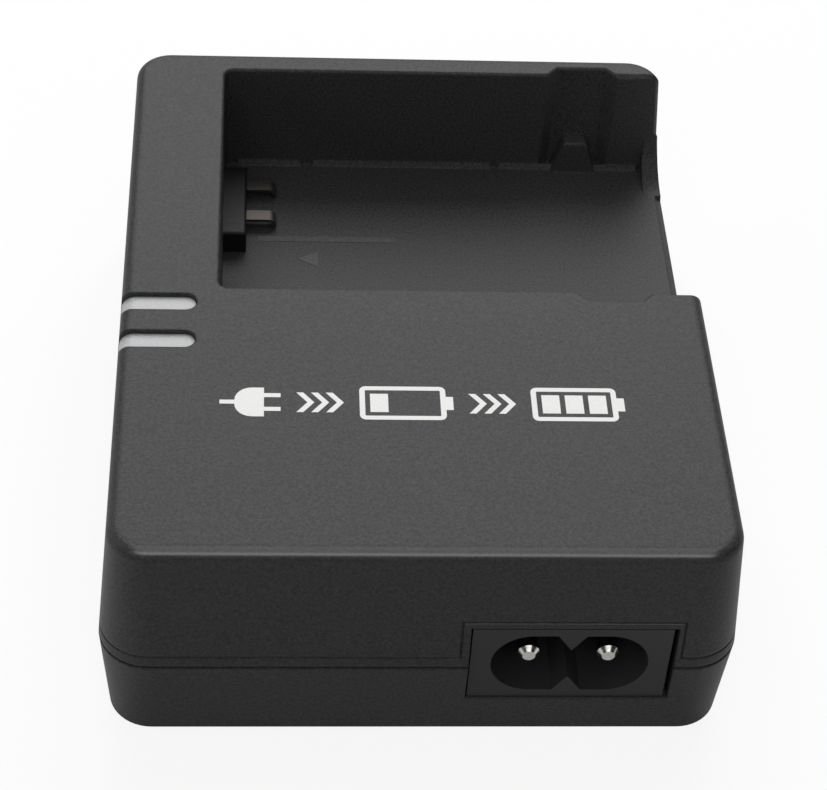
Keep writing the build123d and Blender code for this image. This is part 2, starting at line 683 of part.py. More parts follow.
def lead_places():
    """Every lead that goes through the board."""
    places = lead_pair((MAINS_CAP_X, MAINS_CAP_Y), MAINS_CAP_PITCH, False)
    places += lead_pair((OUTPUT_CAP_X, OUTPUT_CAP_Y), OUTPUT_CAP_PITCH, True)
    places += lead_pair((CHOKE_X, CHOKE_Y), CHOKE_PITCH, True)
    places += lead_pair((FUSE_X, FUSE_Y), FUSE_PITCH, True)
    places += lead_pair((DIODE_X, DIODE_Y), DIODE_PITCH, False)
    places += lead_pair((DISC_X, DISC_Y), DISC_PITCH, False)
    places += lead_pair((LED_X, CHARGE_GUIDE_Y), LED_PITCH, False)
    places += lead_pair((LED_X, FULL_GUIDE_Y), LED_PITCH, False)
    places += dip_leads(BRIDGE_X, BRIDGE_Y, BRIDGE_PINS)
    places += dip_leads(SWITCH_X, DIP_Y, SWITCH_PINS)
    places += dip_leads(COUPLER_X, DIP_Y, COUPLER_PINS)
    return places + former_pins()


def circuit_board():
    """Board with a hole for every lead, slots for the pin tails and contacts, and peg holes."""
    plan = RectangleRounded(BOARD_W, BOARD_D, BOARD_CORNER_R)
    hole = Rectangle(LEAD_T + 2 * LEAD_CLEAR, LEAD_T + 2 * LEAD_CLEAR)
    plan -= [Pos(x, y) * hole for x, y in lead_places()]
    plan -= [Pos(x, -PILLAR_Y) * Circle(PEG_D / 2 + PEG_CLEAR) for x in (-PILLAR_X, PILLAR_X)]
    tail = Rectangle(TAIL_W + 2 * LEAD_CLEAR, TAIL_T + 2 * LEAD_CLEAR)
    plan -= [Pos(x, TAIL_Y) * tail for x in (PIN_LEFT_X, PIN_RIGHT_X)]
    strip = Rectangle(CONTACT_T + 2 * LEAD_CLEAR, CONTACT_W + 2 * LEAD_CLEAR)
    plan -= [Pos(CONTACT_DROP_X, y) * strip for y in (NEGATIVE_Y, POSITIVE_Y)]
    return extrude(Pos(0, 0, BOARD_Z) * plan, BOARD_T)


# Parts on the board

def can_capacitor(at, diameter, height, pitch, along_y):
    """Upright electrolytic can with a bevelled top edge, on two leads."""
    can = post(at[0], at[1], BOARD_TOP, BOARD_TOP + height, diameter)
    can = chamfer(can.edges().sort_by(Axis.Z)[-1], CAN_BEVEL)
    for point in lead_pair(at, pitch, along_y):
        can += lead(point, BOARD_TOP)
    return can


def mains_choke():
    """Drum coil in a shrunk sleeve, standing on its leads."""
    drum = post(CHOKE_X, CHOKE_Y, BOARD_TOP, BOARD_TOP + CHOKE_H, CHOKE_D)
    for point in lead_pair((CHOKE_X, CHOKE_Y), CHOKE_PITCH, True):
        drum += lead(point, BOARD_TOP)
    return drum


def axial_part(at, diameter, length, pitch, along_y):
    """Part with a wire at each end, lying on the board, with its leads bent down."""
    middle_z = BOARD_TOP + diameter / 2
    half = pitch / 2
    foot_z = BOARD_Z - LEAD_OUT
    body = Pos(0, 0, middle_z) * Rot(0, 90, 0) * Cylinder(diameter / 2, length)
    corners = [(-half, foot_z), (-half, middle_z), (half, middle_z), (half, foot_z)]
    wire = bent_strip(FilletPolyline(*corners, radius=LEAD_BEND_R), LEAD_T, LEAD_T, 0)
    return Pos(at[0], at[1], 0) * Rot(0, 0, 90 if along_y else 0) * (wire + body)


def safety_capacitor():
    """Disc capacitor standing on edge on its two leads."""
    centre_z = BOARD_TOP + DISC_D / 2
    disc = Pos(DISC_X, DISC_Y, centre_z) * Rot(90, 0, 0) * Cylinder(DISC_D / 2, DISC_T)
    for point in lead_pair((DISC_X, DISC_Y), DISC_PITCH, False):
        disc += lead(point, centre_z)
    return disc


def dip_package(x, y, length, pins):
    """Two-row chip with bent legs through the board and a nick that marks its first end."""
    low_z = BOARD_TOP + DIP_STAND
    top_z = low_z + DIP_H
    mark_z = top_z - DIP_MARK_DEPTH
    body = span(x - length / 2, x + length / 2, y - DIP_W / 2, y + DIP_W / 2, low_z, top_z)
    end_x = x - length / 2
    body -= span(end_x, end_x + DIP_MARK, y - DIP_MARK / 2, y + DIP_MARK / 2, mark_z, top_z)
    shoulder_z = BOARD_TOP + CHIP_LEAD_UP
    half_w = CHIP_LEAD_W / 2
    half_t = CHIP_LEAD_T / 2
    for lead_x, lead_y in dip_leads(x, y, pins):
        low_y = min(lead_y - half_t, y)
        high_y = max(lead_y + half_t, y)
        body += span(lead_x - half_w, lead_x + half_w, low_y, high_y, shoulder_z, shoulder_z + CHIP_LEAD_T)
        leg = (lead_y - half_t, lead_y + half_t, BOARD_Z - LEAD_OUT, shoulder_z + CHIP_LEAD_T)
        body += span(lead_x - half_w, lead_x + half_w, *leg)
    return body


def charge_controller():
    """Flat chip with gull-wing leads, soldered to the top of the board."""
    low_z = BOARD_TOP + CONTROLLER_STAND
    half_l = CONTROLLER_L / 2
    half_b = CONTROLLER_W / 2
    top_z = low_z + CONTROLLER_H
    x = CONTROLLER_X
    y = CONTROLLER_Y
    body = span(x - half_l, x + half_l, y - half_b, y + half_b, low_z, top_z)
    bend_z = low_z + CONTROLLER_H / 2
    half_w = CHIP_LEAD_W / 2
    count = int(CONTROLLER_L / CONTROLLER_PITCH)
    first = x - (count - 1) / 2 * CONTROLLER_PITCH
    for side in (-1, 1):
        toe = y + side * CONTROLLER_SPAN / 2
        heel = toe - side * CONTROLLER_FOOT
        root = y + side * half_b
        wing = Polyline(
            (root, bend_z), (heel, bend_z), (heel, BOARD_TOP), (toe, BOARD_TOP),
            (toe, BOARD_TOP + CHIP_LEAD_T), (heel + side * CHIP_LEAD_T, BOARD_TOP + CHIP_LEAD_T),
            (heel + side * CHIP_LEAD_T, bend_z + CHIP_LEAD_T), (root, bend_z + CHIP_LEAD_T), close=True,
        )
        for i in range(count):
            plane = Plane(origin=(first + i * CONTROLLER_PITCH, 0, 0), x_dir=(0, 1, 0), z_dir=(1, 0, 0))
            body += extrude(plane * make_face(wing), half_w, both=True)
    return body


def chip_resistors():
    """Six chip resistors in two rows beside the charge controller."""
    chip = Box(RESISTOR_L, RESISTOR_W, RESISTOR_H)
    grid = GridLocations(RESISTOR_GRID, RESISTOR_GRID, 3, 2)
    middle = Pos(RESISTORS_X, CONTROLLER_Y, BOARD_TOP + RESISTOR_H / 2)
    return Compound(children=[middle * place * chip for place in grid])


# Transformer

def transformer_core():
    """Pair of E cores: a frame round the coil with a middle leg through it."""
    half_w = CORE_W / 2
    half_t = CORE_T / 2
    x = TRANSFORMER_X
    y = TRANSFORMER_Y
    core = span(x - half_w, x + half_w, y - half_t, y + half_t, CORE_Z, CORE_Z + CORE_H)
    window_in = CORE_LEG / 2
    window_out = half_w - CORE_YOKE
    window = (y - half_t, y + half_t, WINDOW_Z, WINDOW_Z + WINDOW_H)
    core -= span(x + window_in, x + window_out, *window)
    core -= span(x - window_out, x - window_in, *window)
    return core


def former_tube(wall, z0, z1):
    """Square tube round the middle leg of the core, clear of it by the coil's clearance."""
    grow = 2 * (COIL_CLEAR + wall)
    x_size = CORE_LEG + grow
    y_size = CORE_T + grow
    return Pos(TRANSFORMER_X, TRANSFORMER_Y, (z0 + z1) / 2) * Box(x_size, y_size, z1 - z0)


def transformer_bobbin():
    """Coil former: a tube between two flanges, on two rails with the pins."""
    x = TRANSFORMER_X
    y = TRANSFORMER_Y
    half_w = FORMER_W / 2
    half_d = FORMER_D / 2
    low_z = WINDOW_Z + COIL_CLEAR
    high_z = WINDOW_Z + WINDOW_H - COIL_CLEAR
    former = former_tube(FORMER_T, low_z, high_z)
    former += span(x - half_w, x + half_w, y - half_d, y + half_d, low_z, low_z + FORMER_T)
    flange_d = half_d - FORMER_RAIL / 2
    former += span(x - half_w, x + half_w, y - flange_d, y + flange_d, high_z - FORMER_T, high_z)
    former += span(x - half_w, x + half_w, y - half_d, y - half_d + FORMER_RAIL, BOARD_TOP, low_z)
    former += span(x - half_w, x + half_w, y + half_d - FORMER_RAIL, y + half_d, BOARD_TOP, low_z)
    former -= former_tube(0, low_z - FORMER_T, high_z + FORMER_T)
    for point in former_pins():
        former += lead(point, BOARD_TOP)
    return former


def transformer_winding():
    """Wound coil between the former's flanges, under its yellow tape."""
    low_z = WINDOW_Z + COIL_CLEAR + FORMER_T
    high_z = WINDOW_Z + WINDOW_H - COIL_CLEAR - FORMER_T
    coil_d = FORMER_D - FORMER_RAIL - 2 * COIL_IN
    plan = RectangleRounded(FORMER_W - 2 * COIL_CLEAR, coil_d, COIL_R)
    coil = extrude(Pos(TRANSFORMER_X, TRANSFORMER_Y, low_z) * plan, high_z - low_z)
    return coil - former_tube(FORMER_T, low_z, high_z)


def build():
    """Every piece of the charger, by name."""
    mains_cap = (MAINS_CAP_X, MAINS_CAP_Y)
    output_cap = (OUTPUT_CAP_X, OUTPUT_CAP_Y)
    return {
        "top_shell": top_shell(),
        "bottom_shell": bottom_shell(),
        "inlet_socket": inlet_socket(),
        "inlet_pin_left": inlet_pin(PIN_LEFT_X),
        "inlet_pin_right": inlet_pin(PIN_RIGHT_X),
        "charge_light_guide": light_guide(CHARGE_GUIDE_Y),
        "full_light_guide": light_guide(FULL_GUIDE_Y),
        "charge_led": led(CHARGE_GUIDE_Y),
        "full_led": led(FULL_GUIDE_Y),
        "terminal_block": terminal_block(),
        "contact_positive": contact(POSITIVE_Y),
        "contact_negative": contact(NEGATIVE_Y),
        "circuit_board": circuit_board(),
        "mains_capacitor": can_capacitor(mains_cap, MAINS_CAP_D, MAINS_CAP_H, MAINS_CAP_PITCH, False),
        "output_capacitor": can_capacitor(output_cap, OUTPUT_CAP_D, OUTPUT_CAP_H, OUTPUT_CAP_PITCH, True),
        "mains_choke": mains_choke(),
        "fuse_resistor": axial_part((FUSE_X, FUSE_Y), FUSE_D, FUSE_L, FUSE_PITCH, True),
        "output_diode": axial_part((DIODE_X, DIODE_Y), DIODE_D, DIODE_L, DIODE_PITCH, False),
        "safety_capacitor": safety_capacitor(),
        "bridge_rectifier": dip_package(BRIDGE_X, BRIDGE_Y, BRIDGE_L, BRIDGE_PINS),
        "switching_chip": dip_package(SWITCH_X, DIP_Y, SWITCH_L, SWITCH_PINS),
        "optocoupler": dip_package(COUPLER_X, DIP_Y, COUPLER_L, COUPLER_PINS),
        "charge_controller": charge_controller(),
        "chip_resistors": chip_resistors(),
        "transformer_core": transformer_core(),
        "transformer_bobbin": transformer_bobbin(),
        "transformer_winding": transformer_winding(),
    }


os.makedirs("parts", exist_ok=True)
for name, shape in build().items():
    export_step(shape, f"parts/{name}.step")
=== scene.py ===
import json
import math

import bmesh
import bpy
from mathutils import Matrix, Vector

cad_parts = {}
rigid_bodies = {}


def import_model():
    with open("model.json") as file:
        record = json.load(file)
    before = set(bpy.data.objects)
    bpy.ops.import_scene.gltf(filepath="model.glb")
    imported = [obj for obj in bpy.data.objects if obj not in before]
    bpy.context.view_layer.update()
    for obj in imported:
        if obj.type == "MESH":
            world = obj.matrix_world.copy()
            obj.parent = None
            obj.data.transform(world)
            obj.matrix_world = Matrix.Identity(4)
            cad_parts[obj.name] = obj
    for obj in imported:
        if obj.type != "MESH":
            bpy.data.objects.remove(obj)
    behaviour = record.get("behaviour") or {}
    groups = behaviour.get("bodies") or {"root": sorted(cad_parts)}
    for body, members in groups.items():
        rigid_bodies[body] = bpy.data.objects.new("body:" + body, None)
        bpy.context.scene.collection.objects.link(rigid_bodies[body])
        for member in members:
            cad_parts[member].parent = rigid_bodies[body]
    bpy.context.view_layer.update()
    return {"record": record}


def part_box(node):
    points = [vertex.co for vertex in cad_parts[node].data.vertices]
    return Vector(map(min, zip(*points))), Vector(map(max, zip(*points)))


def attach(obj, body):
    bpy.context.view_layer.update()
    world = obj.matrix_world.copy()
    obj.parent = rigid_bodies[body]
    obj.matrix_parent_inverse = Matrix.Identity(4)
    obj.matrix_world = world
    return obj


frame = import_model()

# Camera battery charger: its finishes, printed symbols and bay marks, with a studio and a camera.
# X is to the right, Y to the back and Z up. Sizes are in millimetres, and Blender works in metres.
MM = 0.001

# Camera, fitted to the edges of the casing
CAMERA_AT = (-17.41, -201.62, 208.79)
CAMERA_YAW = 5.22
CAMERA_PITCH = 44.62
CAMERA_ROLL = 4.17
FOCAL_PX = 2362.3
FRAME_PX = 827
SENSOR_W = 36.0

# Printed symbols on the top: a plug, a nearly empty battery and a full one, with chevrons between
PRINT_LEFT = -21.8
PRINT_MIDDLE_Y = -20.45
PRINT_GAP = 1.7
PRINT_STROKE = 0.6
INK_T = 0.02
INK_SUNK = 0.005
# Distance within which a point counts as on a line
NEAR = 0.02
LEAD_L = 1.6
PLUG_W = 3.2
PLUG_H = 4.4
PRONG_L = 1.8
PRONG_PITCH = 2.1
CHEVRONS = 3
CHEVRON_W = 0.75
CHEVRON_H = 3.0
CHEVRON_POINT = 1.2
CHEVRON_PITCH = 1.6
BATTERY_W = 9.4
BATTERY_H = 5.1
BATTERY_CORNER = 0.7
BATTERY_NUB_W = 0.8
BATTERY_NUB_H = 2.0
LEVELS = 3
LEVEL_MARGIN = 1.15
LEVEL_GAP = 0.6
CORNER_STEPS = 6

# Raised marks on the floor of the bay: an arrow that points at the contacts, and a fine rib
ARROW_TIP = (-12.9, 20.0)
ARROW_L = 2.6
RIB_LEFT = -17.9
RIB_RIGHT = -0.4
RIB_Y = 23.8
RIB_W = 1.0
MARK_H = 0.04
MARK_SUNK = 0.1
MARK_BEVEL = 0.02
MARK_BEVEL_STEPS = 2

# Grain of a finish: its finer layers, how strong they are, and the part of its range that spreads the tones
GRAIN_LAYERS = 3.0
GRAIN_BITE = 0.6
GRAIN_SPREAD = (0.3, 0.7)

# Rubbed part of the casing: above this height and in front of this place, where the surface leans up and
# to the front, and not aside. Each lean gives where the polish starts and where it is full.
RUBBED_FROM = 15.5
RUBBED_TO = -36.0
RUBBED_UP = (0.4, 0.55)
RUBBED_AHEAD = (-0.12, -0.32)
RUBBED_ASIDE = (0.4, 0.1)

# Radius by which the casing's edges look blunt, and the number of rays that find them
EDGE_BLUNT = 0.4
EDGE_RAYS = 8

# Studio
FLOOR_SIZE = 6000.0
# Share of its own light that the floor shows to the camera, and in reflections
FLOOR_GLOW = 0.88
FLOOR_GLOW_MIRRORED = 0.25
# Place, width and height, and watts of each lamp
LAMPS = {
    "back_softbox": ((40.0, 640.0, 630.0), (900.0, 640.0), 8.0),
    "overhead_softbox": ((0.0, -40.0, 620.0), (600.0, 700.0), 0.87),
    "left_fill": ((-640.0, -40.0, 200.0), (900.0, 380.0), 1.3),
    "front_strip": ((-20.0, -520.0, 510.0), (700.0, 260.0), 1.1),
}
LAMP_AIM = (0.0, 0.0, 15.0)
WORLD_FILL = 0.02


# Finishes

def linear(hex_colour):
    """Linear colour of an sRGB hex value."""
    parts = [int(hex_colour[i:i + 2], 16) / 255 for i in (1, 3, 5)]
    toned = [p / 12.92 if p <= 0.04045 else ((p + 0.055) / 1.055) ** 2.4 for p in parts]
    return (*toned, 1.0)


def per_mm(size):
    """Scale of a pattern whose features are this many millimetres across."""
    return 1.0 / (size * MM)


def new_finish(name):
    """Material with no nodes yet."""
    finish = bpy.data.materials.new(name)
    finish.use_nodes = True
    finish.node_tree.nodes.clear()
    return finish


def add_node(owner, kind, inputs, **settings):
    """Adds a node and gives its outputs. An input is a plain value, or the output that feeds it."""
    tree = owner.node_tree
    made = tree.nodes.new(kind)
    for name, value in settings.items():
        setattr(made, name, value)
    for name, value in inputs.items():
        if isinstance(value, bpy.types.NodeSocket):
            tree.links.new(value, made.inputs[name])
        else:
            made.inputs[name].default_value = value
    return made.outputs


def rim_mask(finish, place, facing):
    """One on the upper front rim, where a hand holds the charger, and zero elsewhere."""
    spot = add_node(finish, "ShaderNodeSeparateXYZ", {"Vector": place})
    upper = add_node(finish, "ShaderNodeMath", {
        0: spot["Z"], 1: RUBBED_FROM * MM}, operation="GREATER_THAN")[0]
    rim = add_node(finish, "ShaderNodeMath", {0: spot["Y"], 1: RUBBED_TO * MM}, operation="LESS_THAN")[0]
    limits = [upper]
    lean = add_node(finish, "ShaderNodeSeparateXYZ", {"Vector": facing})
    aside = add_node(finish, "ShaderNodeMath", {0: lean["X"]}, operation="ABSOLUTE")[0]
    for tilt, (start, full) in ((lean["Z"], RUBBED_UP), (lean["Y"], RUBBED_AHEAD), (aside, RUBBED_ASIDE)):
        limits.append(add_node(finish, "ShaderNodeMapRange", {
            "Value": tilt, "From Min": start, "From Max": full})["Result"])
    for limit in limits:
        rim = add_node(finish, "ShaderNodeMath", {0: rim, 1: limit}, operation="MULTIPLY")[0]
    return rim


def grained(name, light, dark, grain, depth, rough, rubbed=None, **surface):
    """Skin that varies between two tones and two roughnesses with its own grain, and is pitted by it.

    A rubbed skin has a smooth polish on its front rim, whose roughness is given, and slightly blunt edges.
    """
    finish = new_finish(name)
    place = add_node(finish, "ShaderNodeTexCoord", {})["Object"]
    grit = add_node(finish, "ShaderNodeTexNoise", {
        "Vector": place, "Scale": per_mm(grain), "Detail": GRAIN_LAYERS, "Roughness": GRAIN_BITE})["Fac"]
    spread = add_node(finish, "ShaderNodeMapRange", {
        "Value": grit, "From Min": GRAIN_SPREAD[0], "From Max": GRAIN_SPREAD[1]})["Result"]
    # A colour mix takes its two colours at inputs 6 and 7, and gives its result at output 2
    tone = add_node(finish, "ShaderNodeMix", {
        0: spread, 6: linear(dark), 7: linear(light)}, data_type="RGBA")[2]
    gloss = add_node(finish, "ShaderNodeMapRange", {
        "Value": spread, "To Min": rough[0], "To Max": rough[1]})["Result"]
    pitting = {"Height": grit, "Strength": 1.0, "Distance": depth * MM}
    if rubbed:
        blunt = add_node(finish, "ShaderNodeBevel", {
            "Radius": EDGE_BLUNT * MM}, samples=EDGE_RAYS)["Normal"]
        surface["Coat Weight"] = rim_mask(finish, place, blunt)
        surface["Coat Roughness"] = rubbed
        pitting["Normal"] = blunt
    pits = add_node(finish, "ShaderNodeBump", pitting)["Normal"]
    skin = add_node(finish, "ShaderNodeBsdfPrincipled", {
        "Base Color": tone, "Roughness": gloss, "Normal": pits, **surface})["BSDF"]
    add_node(finish, "ShaderNodeOutputMaterial", {"Surface": skin})
    return finish


# Grain sizes and depths are in millimetres. Most real grains here are too fine to show in a render, so
# they are drawn coarser.

# ABS moulded in a spark-eroded tool: a dark grey with an even, fine, dull grain. Its front rim is rubbed
# smooth, and mirrors more than bare plastic does.
casing_abs = grained("abs_spark_grained", "#4b4b4d", "#2b2b2c", grain=0.3, depth=0.035,
                     rough=(0.42, 0.5), rubbed=0.28, **{"Specular IOR Level": 0.16, "Coat IOR": 1.8})

# The same ABS where the tool was polished: smoother, and with a lighter dark tone that is painted light,
# standing in for the light that the raised marks catch
mark_abs_painted_light = grained("abs_polished_mark_painted_light", "#4b4b4d", "#353537", grain=0.4, depth=0.02,
                   rough=(0.38, 0.44), **{"Specular IOR Level": 0.2})

# PBT moulded in a smoother tool: a little darker than the casing, with a low sheen
inlet_pbt = grained("pbt_moulded_black", "#373739", "#303032", grain=0.35, depth=0.012,
                    rough=(0.4, 0.5), **{"Specular IOR Level": 0.25})

# Glass-filled nylon, moulded: near black, with fibres that dull it
terminal_nylon = grained("nylon_glass_filled", "#1a1a1b", "#141415", grain=0.4, depth=0.01,
                         rough=(0.45, 0.6), **{"Specular IOR Level": 0.3})

# Brass turned and nickel plated: bright, with a faintly uneven gloss
pin_nickel = grained("brass_nickel_plated", "#d9d6cf", "#c9c6bf", grain=0.3, depth=0.002,
                     rough=(0.16, 0.26), Metallic=1.0)

# Brass strip, rolled and plated, and a little uneven. Its plating colour is darkened as painted shade, for
# the shade the contacts sit in deep in the bay
contact_plating_painted_shade = grained("brass_strip_plated_painted_shade", "#6b6863", "#5a5752", grain=0.25, depth=0.004,
                          rough=(0.45, 0.6), Metallic=1.0)

# Acrylic moulded with a frosted face: milky, because light spreads about 2 mm inside it
guide_acrylic = grained("acrylic_frosted", "#c4c5c6", "#b4b5b6", grain=0.3, depth=0.006, rough=(0.4, 0.55),
                        **{"Subsurface Weight": 0.7, "Subsurface Radius": (1.0, 1.0, 1.0),
                           "Subsurface Scale": 2.0 * MM})

# Finishes of the parts inside, each with its own tone, grain and gloss
inner_finishes = {
    # Clear epoxy, cast in a mould: a smooth, warm lens
    "lamp": grained("epoxy_cast_lens", "#e4e1d6", "#d8d4c8", grain=1.0, depth=0.001, rough=(0.08, 0.14),
                    **{"Transmission Weight": 0.6}),
    # Phenolic paper, pressed in sheets: brown, with the mottle of its paper
    "board": grained("phenolic_paper_pressed", "#a88556", "#8f6e42", grain=0.6, depth=0.004,
                     rough=(0.4, 0.55)),
    # PVC sleeve, shrunk on: a glossy blue-black skin
    "sleeve": grained("pvc_sleeve_shrunk", "#1d2333", "#171b29", grain=1.5, depth=0.004, rough=(0.2, 0.32)),
    # Polyolefin tube, shrunk on: a satin black skin that follows what is under it
    "choke_sleeve": grained("polyolefin_tube_shrunk", "#1c1c1c", "#151515", grain=0.8, depth=0.02,
                            rough=(0.35, 0.5)),
    # Cement, dipped and fired: chalky and green-grey
    "resistor_coat": grained("cement_dipped", "#9fb8a8", "#8ca596", grain=0.25, depth=0.01,
                             rough=(0.7, 0.85)),
    # Epoxy powder, dipped and cured: blue, with an orange-peel skin
    "disc_coat": grained("epoxy_dipped_blue", "#3f6fae", "#335f9c", grain=0.7, depth=0.015,
                         rough=(0.28, 0.4)),
    # Filled epoxy, transfer moulded: dull black
    "chip_body": grained("epoxy_transfer_moulded", "#232324", "#1b1b1c", grain=0.12, depth=0.004,
                         rough=(0.55, 0.7)),
    # Ferrite, pressed and sintered: a dull grey-black ceramic
    "ferrite": grained("ferrite_sintered", "#343436", "#28282a", grain=0.2, depth=0.008,
                       rough=(0.55, 0.72)),
    # Phenolic, compression moulded: black, with a low sheen
    "former": grained("phenolic_moulded", "#2c2b2a", "#232221", grain=0.4, depth=0.006, rough=(0.4, 0.52)),
    # Polyester film, wound tight: glossy yellow
    "tape": grained("polyester_tape_wound", "#e0b732", "#cfa526", grain=1.2, depth=0.006,
                    rough=(0.18, 0.3)),
}

slot_finishes = {
    "casing": casing_abs,
    "inlet": inlet_pbt,
    "pins": pin_nickel,
    "light_guide": guide_acrylic,
    "terminal_block": terminal_nylon,
    "contacts": contact_plating_painted_shade,
    **inner_finishes,
}

# Pad-printing ink, cured: a flat, slightly uneven white
print_ink = grained("pad_printing_ink", "#f0f0ee", "#e4e4e2", grain=0.2, depth=0.004, rough=(0.5, 0.62))


def coat(piece, finish):
    """Gives a piece one finish."""
    piece.data.materials.clear()
    piece.data.materials.append(finish)


for subpart in frame["record"]["subparts"]:
    coat(bpy.data.objects[subpart["node"]], slot_finishes[subpart["material_slot"]])


# Modelling

def plate(left, right, front, back, height):
    """Flat rectangle that faces up."""
    bpy.ops.object.select_all(action="DESELECT")
    middle = Vector(((left + right) / 2, (front + back) / 2, height))
    bpy.ops.mesh.primitive_plane_add(size=MM, location=middle * MM)
    bpy.context.object.scale = (right - left, back - front, 1.0)
    bpy.ops.object.transform_apply(location=True, rotation=True, scale=True)
    return bpy.context.object


def pick(piece, kind, chosen):
    """In edit mode, selects only the vertices or edges whose every point is chosen."""
    bpy.ops.mesh.select_mode(type=kind)
    bpy.ops.mesh.select_all(action="DESELECT")
    shape = bmesh.from_edit_mesh(piece.data)
    if kind == "VERT":
        for vertex in shape.verts:
            vertex.select = chosen(vertex.co / MM)
    else:
        for edge in shape.edges:
            edge.select = all(chosen(end.co / MM) for end in edge.verts)
    shape.select_flush_mode()
    bmesh.update_edit_mesh(piece.data)


def joined(pieces, name):
    """Makes several pieces one."""
    bpy.ops.object.select_all(action="DESELECT")
    for piece in pieces:
        piece.select_set(True)
    bpy.context.view_layer.objects.active = pieces[0]
    bpy.ops.object.join()
    pieces[0].name = name
    return pieces[0]


def rounded_plate(left, right, front, back, height, corner, chosen):
    """Flat rectangle whose chosen corners are rounded."""
    piece = plate(left, right, front, back, height)
    bpy.ops.object.mode_set(mode="EDIT")
    pick(piece, "VERT", chosen)
    bpy.ops.mesh.bevel(offset=corner * MM, segments=CORNER_STEPS, affect="VERTICES")
    bpy.ops.object.mode_set(mode="OBJECT")
    return piece


def plug_symbol(left, middle, height):
    """Lead, rounded plug body and two prongs."""
    body = left + LEAD_L
    prongs = body + PLUG_W
    half = PRINT_STROKE / 2
    pieces = [
        plate(left, body, middle - half, middle + half, height),
        rounded_plate(body, prongs, middle - PLUG_H / 2, middle + PLUG_H / 2, height,
                      corner=PLUG_H / 2 - half, chosen=lambda at: at.x < (body + prongs) / 2),
    ]
    for side in (-1, 1):
        across = middle + side * PRONG_PITCH / 2
        pieces.append(plate(prongs, prongs + PRONG_L, across - half, across + half, height))
    return pieces, prongs + PRONG_L


def chevron_symbol(left, middle, height):
    """Row of chevrons that point to the right."""
    pieces = []
    for turn in range(CHEVRONS):
        start = left + turn * CHEVRON_PITCH
        piece = plate(start, start + CHEVRON_W, middle - CHEVRON_H / 2, middle + CHEVRON_H / 2, height)
        bpy.ops.object.mode_set(mode="EDIT")
        bpy.ops.mesh.select_all(action="SELECT")
        bpy.ops.mesh.bisect(plane_co=(0.0, middle * MM, 0.0), plane_no=(0.0, 1.0, 0.0))
        pick(piece, "VERT", lambda at: abs(at.y - middle) < NEAR)
        bpy.ops.transform.translate(value=(CHEVRON_POINT * MM, 0.0, 0.0))
        bpy.ops.object.mode_set(mode="OBJECT")
        pieces.append(piece)
    return pieces, left + (CHEVRONS - 1) * CHEVRON_PITCH + CHEVRON_W + CHEVRON_POINT


def battery_symbol(left, middle, height, levels):
    """Outline of a battery with a nub, and bars for its charge."""
    right = left + BATTERY_W
    half = BATTERY_H / 2
    outline = rounded_plate(left, right, middle - half, middle + half, height,
                            corner=BATTERY_CORNER, chosen=lambda at: True)
    bpy.ops.object.mode_set(mode="EDIT")
    bpy.ops.mesh.select_mode(type="FACE")
    bpy.ops.mesh.select_all(action="SELECT")
    bpy.ops.mesh.inset(thickness=PRINT_STROKE * MM)
    bpy.ops.mesh.delete(type="FACE")
    bpy.ops.object.mode_set(mode="OBJECT")
    nub_half = BATTERY_NUB_H / 2
    nub = plate(right, right + BATTERY_NUB_W, middle - nub_half, middle + nub_half, height)
    pieces = [outline, nub]
    room = BATTERY_W - 2 * LEVEL_MARGIN
    wide = (room - (LEVELS - 1) * LEVEL_GAP) / LEVELS
    reach = half - LEVEL_MARGIN
    for level in range(levels):
        start = left + LEVEL_MARGIN + level * (wide + LEVEL_GAP)
        pieces.append(plate(start, start + wide, middle - reach, middle + reach, height))
    return pieces, right + BATTERY_NUB_W


def printed_symbols():
    """White print on the top, from plug to full battery."""
    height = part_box("top_shell")[1][2] / MM - INK_SUNK
    pieces = []
    at = PRINT_LEFT
    for symbol, more in ((plug_symbol, {}), (chevron_symbol, {}), (battery_symbol, {"levels": 1}),
                         (chevron_symbol, {}), (battery_symbol, {"levels": LEVELS})):
        made, at = symbol(at, PRINT_MIDDLE_Y, height, **more)
        pieces += made
        at += PRINT_GAP
    piece = joined(pieces, "printed_symbols")
    film = piece.modifiers.new("ink_film", "SOLIDIFY")
    film.thickness = (INK_T + INK_SUNK) * MM
    film.offset = 1.0
    bpy.ops.object.modifier_apply(modifier=film.name)
    coat(piece, print_ink)
    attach(piece, "root")


def finish_mark(piece, name, top):
    """Settles a raised bay mark and bevels its top edges."""
    piece.name = name
    bpy.ops.object.transform_apply(location=True, rotation=True, scale=True)
    bpy.ops.object.mode_set(mode="EDIT")
    pick(piece, "EDGE", lambda at: at.z > top - MARK_H)
    bpy.ops.mesh.bevel(offset=MARK_BEVEL * MM, segments=MARK_BEVEL_STEPS)
    bpy.ops.object.mode_set(mode="OBJECT")
    # The mark's finish is lighter than the casing: painted light for the light its top catches
    coat(piece, mark_abs_painted_light)
    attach(piece, "root")


def bay_marks():
    """Arrow and rib that stand up from the floor of the battery bay."""
    bay = next(mount for mount in frame["record"]["mounts"] if mount["name"] == "battery_bay")
    floor = bay["pos_m"][2] / MM
    low, high = floor - MARK_SUNK, floor + MARK_H
    # The corners of an even triangle lie two thirds of its height from its middle
    radius = ARROW_L * 2 / 3
    bpy.ops.object.select_all(action="DESELECT")
    bpy.ops.mesh.primitive_cylinder_add(
        vertices=3, radius=radius * MM, depth=(high - low) * MM, rotation=(0.0, 0.0, math.radians(90)),
        location=Vector((ARROW_TIP[0] + radius, ARROW_TIP[1], (low + high) / 2)) * MM)
    finish_mark(bpy.context.object, "bay_arrow", high)
    bpy.ops.object.select_all(action="DESELECT")
    bpy.ops.mesh.primitive_cube_add(
        size=MM, location=Vector(((RIB_LEFT + RIB_RIGHT) / 2, RIB_Y, (low + high) / 2)) * MM)
    bpy.context.object.scale = (RIB_RIGHT - RIB_LEFT, RIB_W, high - low)
    finish_mark(bpy.context.object, "bay_rib", high)


printed_symbols()
bay_marks()


# Studio

